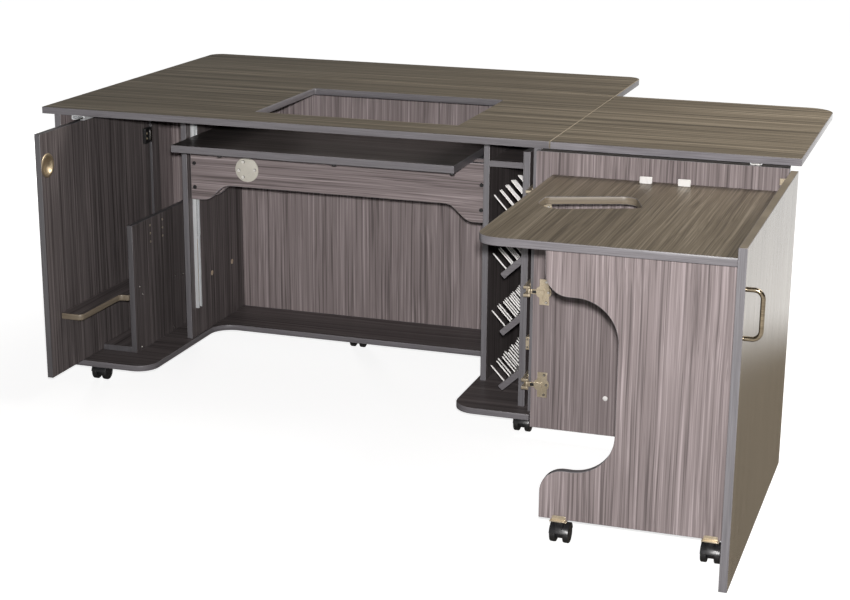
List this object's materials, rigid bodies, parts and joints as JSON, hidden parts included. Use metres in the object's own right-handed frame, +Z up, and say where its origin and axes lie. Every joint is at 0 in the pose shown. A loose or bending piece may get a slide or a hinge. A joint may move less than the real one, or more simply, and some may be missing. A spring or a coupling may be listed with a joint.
{
  "type": "sewing cabinet",
  "caption": "Sewing cabinet on casters with a machine lift in a cut-out top, fold-over and drop leaves, a pocket door, a thread rack and a swing-out side table.",
  "frame": {"origin": "on the floor, below the middle of the whole footprint", "axes": "+X to the right as the sitter faces the cabinet, +Y to the back, +Z up"},
  "size_m": [2.034, 1.879, 0.765],
  "materials": {
    "panel_laminate": "matt grey wood-grain laminate on board",
    "top_laminate": "satin brown-grey wood-grain laminate on board",
    "zinc_steel": "bright zinc plate",
    "nickel_steel": "nickel plate",
    "satin_nickel": "satin nickel plate",
    "bronze": "brushed bronze",
    "black_steel": "black powder coat",
    "black_plastic": "moulded black nylon",
    "white_plastic": "moulded white plastic",
    "tyre_rubber": "smooth black tread"
  },
  "bodies": {
    "cabinet": {"main_top": "top_laminate", "left_side_panel": "panel_laminate", "right_side_panel": "panel_laminate", "left_inner_panel": "panel_laminate", "right_inner_panel": "panel_laminate", "back_panel": "panel_laminate", "base_board": "panel_laminate", "storage_divider": "panel_laminate", "storage_floor": "panel_laminate", "storage_shelf": "panel_laminate", "thread_rack_board": "panel_laminate", "thread_shelves": "panel_laminate", "thread_pegs": "white_plastic", "pier_top_shelf": "panel_laminate", "lift_rails": "zinc_steel", "lift_screw": "zinc_steel", "door_rails": "zinc_steel", "wing_hinge_arms": "nickel_steel", "seam_hinge_fixed": "zinc_steel", "drop_hinge_fixed": "zinc_steel", "caster_plates": "nickel_steel"},
    "lift": {"lift_platform": "panel_laminate", "lift_aprons": "panel_laminate", "lift_runners": "zinc_steel", "lift_drive": "black_plastic", "apron_screws": "black_steel", "cover_disc": "nickel_steel", "platform_glides": "black_plastic"},
    "right_leaf": {"right_leaf": "top_laminate", "seam_hinge_moving": "zinc_steel", "leaf_glide": "white_plastic"},
    "rear_leaf": {"rear_leaf": "top_laminate", "drop_hinge_moving": "zinc_steel"},
    "leaf_struts": {"leaf_struts": "zinc_steel"},
    "wing": {"wing_back_panel": "panel_laminate", "wing_side_panel": "panel_laminate", "wing_front_panel": "panel_laminate", "wing_table": "top_laminate", "wing_pull": "satin_nickel", "wing_blocks": "white_plastic", "wing_hinge_cups": "nickel_steel", "wing_caster_plates": "nickel_steel"},
    "left_door": {"left_door": "panel_laminate", "flush_pull": "bronze", "door_carrier": "panel_laminate", "door_fittings": "black_steel"},
    "swivel_left_front": {"caster_hood_left_front": "black_plastic"},
    "wheels_left_front": {"caster_wheels_left_front": "tyre_rubber"},
    "swivel_right_front": {"caster_hood_right_front": "black_plastic"},
    "wheels_right_front": {"caster_wheels_right_front": "tyre_rubber"},
    "swivel_knee": {"caster_hood_knee": "black_plastic"},
    "wheels_knee": {"caster_wheels_knee": "tyre_rubber"},
    "swivel_left_rear": {"caster_hood_left_rear": "black_plastic"},
    "wheels_left_rear": {"caster_wheels_left_rear": "tyre_rubber"},
    "swivel_right_rear": {"caster_hood_right_rear": "black_plastic"},
    "wheels_right_rear": {"caster_wheels_right_rear": "tyre_rubber"},
    "swivel_wing_left": {"caster_hood_wing_left": "black_plastic"},
    "wheels_wing_left": {"caster_wheels_wing_left": "tyre_rubber"},
    "swivel_wing_right": {"caster_hood_wing_right": "black_plastic"},
    "wheels_wing_right": {"caster_wheels_wing_right": "tyre_rubber"}
  },
  "joints": [
    {"name": "lift_height", "type": "slide", "parent": "cabinet", "child": "lift", "axis": [0, 0, 1], "range_m": [-0.33, 0.085]},
    {"name": "right_leaf_fold", "type": "hinge", "parent": "cabinet", "child": "right_leaf", "pos_m": [0.3775, 0.2185, 0.7653], "axis": [0, -1, 0], "range_deg": [0, 180]},
    {"name": "rear_leaf_drop", "type": "hinge", "parent": "cabinet", "child": "rear_leaf", "pos_m": [-0.317, 0.582, 0.743], "axis": [-1, 0, 0], "range_deg": [0, 90]},
    {"name": "strut_fold", "type": "hinge", "parent": "rear_leaf", "child": "leaf_struts", "pos_m": [-0.317, 0.7715, 0.733], "axis": [1, 0, 0], "range_deg": [0, 130.01]},
    {"name": "wing_swing", "type": "hinge", "parent": "cabinet", "child": "wing", "pos_m": [0.341, -0.1665, 0.39], "axis": [0, 0, 1], "range_deg": [-90, 0]},
    {"name": "door_slide", "type": "slide", "parent": "cabinet", "child": "left_door", "axis": [0, -1, 0], "range_m": [-0.165, 0.39]},
    {"name": "swivel_left_front", "type": "hinge", "parent": "cabinet", "child": "swivel_left_front", "pos_m": [-0.903, -0.0795, 0.047], "axis": [0, 0, 1], "continuous": true},
    {"name": "roll_left_front", "type": "hinge", "parent": "swivel_left_front", "child": "wheels_left_front", "pos_m": [-0.903, -0.0915, 0.022], "axis": [1, 0, 0], "continuous": true},
    {"name": "swivel_right_front", "type": "hinge", "parent": "cabinet", "child": "swivel_right_front", "pos_m": [0.318, -0.0955, 0.047], "axis": [0, 0, 1], "continuous": true},
    {"name": "roll_right_front", "type": "hinge", "parent": "swivel_right_front", "child": "wheels_right_front", "pos_m": [0.318, -0.1075, 0.022], "axis": [1, 0, 0], "continuous": true},
    {"name": "swivel_knee", "type": "hinge", "parent": "cabinet", "child": "swivel_knee", "pos_m": [-0.335, 0.4405, 0.047], "axis": [0, 0, 1], "continuous": true},
    {"name": "roll_knee", "type": "hinge", "parent": "swivel_knee", "child": "wheels_knee", "pos_m": [-0.335, 0.4285, 0.022], "axis": [1, 0, 0], "continuous": true},
    {"name": "swivel_left_rear", "type": "hinge", "parent": "cabinet", "child": "swivel_left_rear", "pos_m": [-0.903, 0.4555, 0.047], "axis": [0, 0, 1], "continuous": true},
    {"name": "roll_left_rear", "type": "hinge", "parent": "swivel_left_rear", "child": "wheels_left_rear", "pos_m": [-0.903, 0.4435, 0.022], "axis": [1, 0, 0], "continuous": true},
    {"name": "swivel_right_rear", "type": "hinge", "parent": "cabinet", "child": "swivel_right_rear", "pos_m": [0.283, 0.4555, 0.047], "axis": [0, 0, 1], "continuous": true},
    {"name": "roll_right_rear", "type": "hinge", "parent": "swivel_right_rear", "child": "wheels_right_rear", "pos_m": [0.283, 0.4435, 0.022], "axis": [1, 0, 0], "continuous": true},
    {"name": "swivel_wing_left", "type": "hinge", "parent": "wing", "child": "swivel_wing_left", "pos_m": [0.585, -0.7755, 0.057], "axis": [0, 0, 1], "continuous": true},
    {"name": "roll_wing_left", "type": "hinge", "parent": "swivel_wing_left", "child": "wheels_wing_left", "pos_m": [0.585, -0.7635, 0.022], "axis": [1, 0, 0], "continuous": true},
    {"name": "swivel_wing_right", "type": "hinge", "parent": "wing", "child": "swivel_wing_right", "pos_m": [0.917, -0.7755, 0.057], "axis": [0, 0, 1], "continuous": true},
    {"name": "roll_wing_right", "type": "hinge", "parent": "swivel_wing_right", "child": "wheels_wing_right", "pos_m": [0.917, -0.7635, 0.022], "axis": [1, 0, 0], "continuous": true}
  ],
  "couplings": [
    {"joint": "strut_fold", "follows": "rear_leaf_drop", "ratio": 1.4335}
  ]
}
